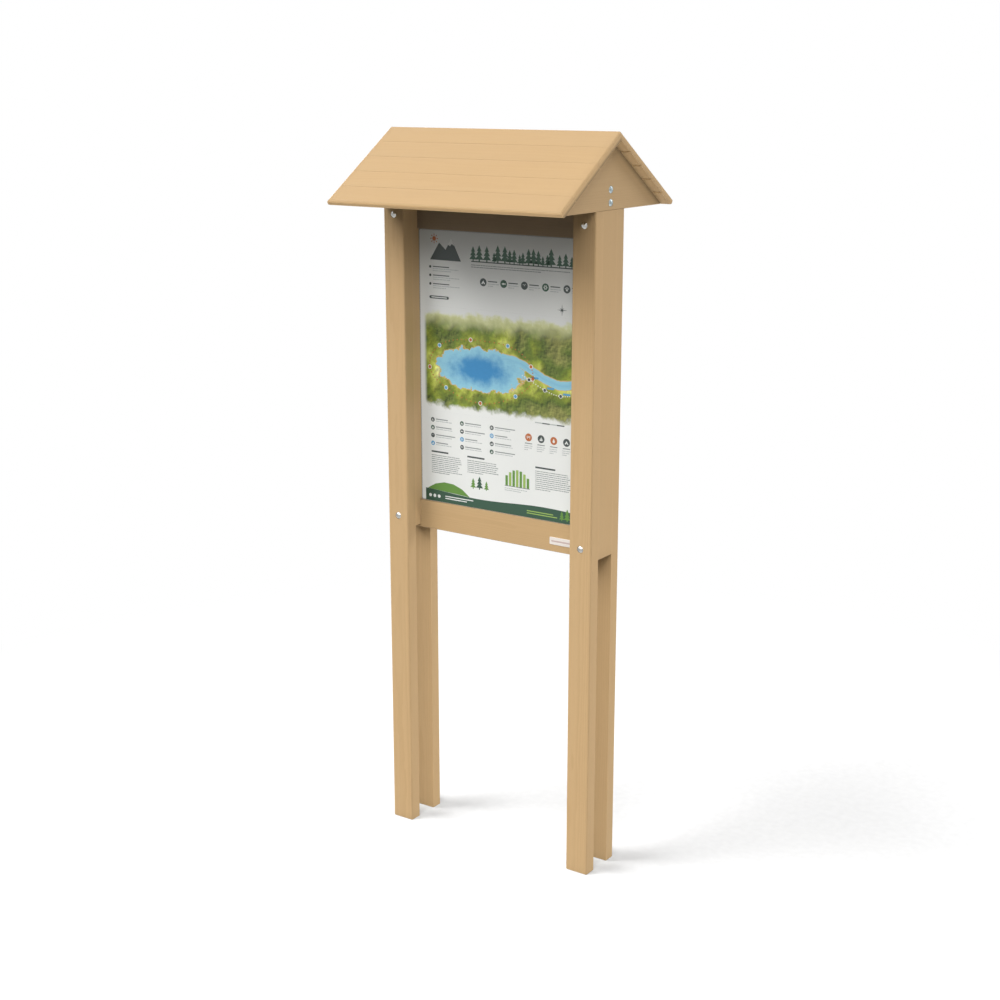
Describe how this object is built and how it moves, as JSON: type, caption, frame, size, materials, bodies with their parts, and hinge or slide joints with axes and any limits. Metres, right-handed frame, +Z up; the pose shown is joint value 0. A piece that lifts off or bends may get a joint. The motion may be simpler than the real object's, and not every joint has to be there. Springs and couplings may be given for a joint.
{
  "type": "park interpretation sign",
  "caption": "Roofed timber park sign: two plank legs carry a framed upright graphic panel on rails under a pitched board roof.",
  "frame": {"origin": "on the ground, midway between the legs and midway between their front and rear planks", "axes": "+Z up, +X to the right seen from the front, -Y out of the printed front"},
  "size_m": [0.814, 0.6026, 2.231],
  "materials": {
    "leg_wood": "oiled, faint upright grain",
    "rail_wood": "oiled, faint level grain",
    "roof_wood": "oiled, faint level grain",
    "panel_print": "printed matt laminate",
    "bolt_steel": "bright zinc",
    "fixing_steel": "dull zinc"
  },
  "bodies": {
    "root": {"left_front_plank": "leg_wood", "left_front_cleat": "roof_wood", "left_rear_plank": "leg_wood", "left_rear_cleat": "roof_wood", "left_block": "leg_wood", "left_gable": "leg_wood", "right_front_plank": "leg_wood", "right_front_cleat": "roof_wood", "right_rear_plank": "leg_wood", "right_rear_cleat": "roof_wood", "right_block": "leg_wood", "right_gable": "leg_wood", "bottom_rail": "rail_wood", "top_rail": "rail_wood", "graphic_panel": "panel_print", "roof_front_board_1": "roof_wood", "roof_front_board_2": "roof_wood", "roof_front_board_3": "roof_wood", "roof_front_board_4": "roof_wood", "roof_front_board_5": "roof_wood", "roof_rear_board_1": "roof_wood", "roof_rear_board_2": "roof_wood", "roof_rear_board_3": "roof_wood", "roof_rear_board_4": "roof_wood", "roof_rear_board_5": "roof_wood", "leg_bolts": "bolt_steel", "gable_screws": "bolt_steel", "leg_washers": "fixing_steel", "leg_nuts": "fixing_steel", "cleat_screws": "fixing_steel", "roof_board_screws": "fixing_steel"}
  },
  "joints": []
}
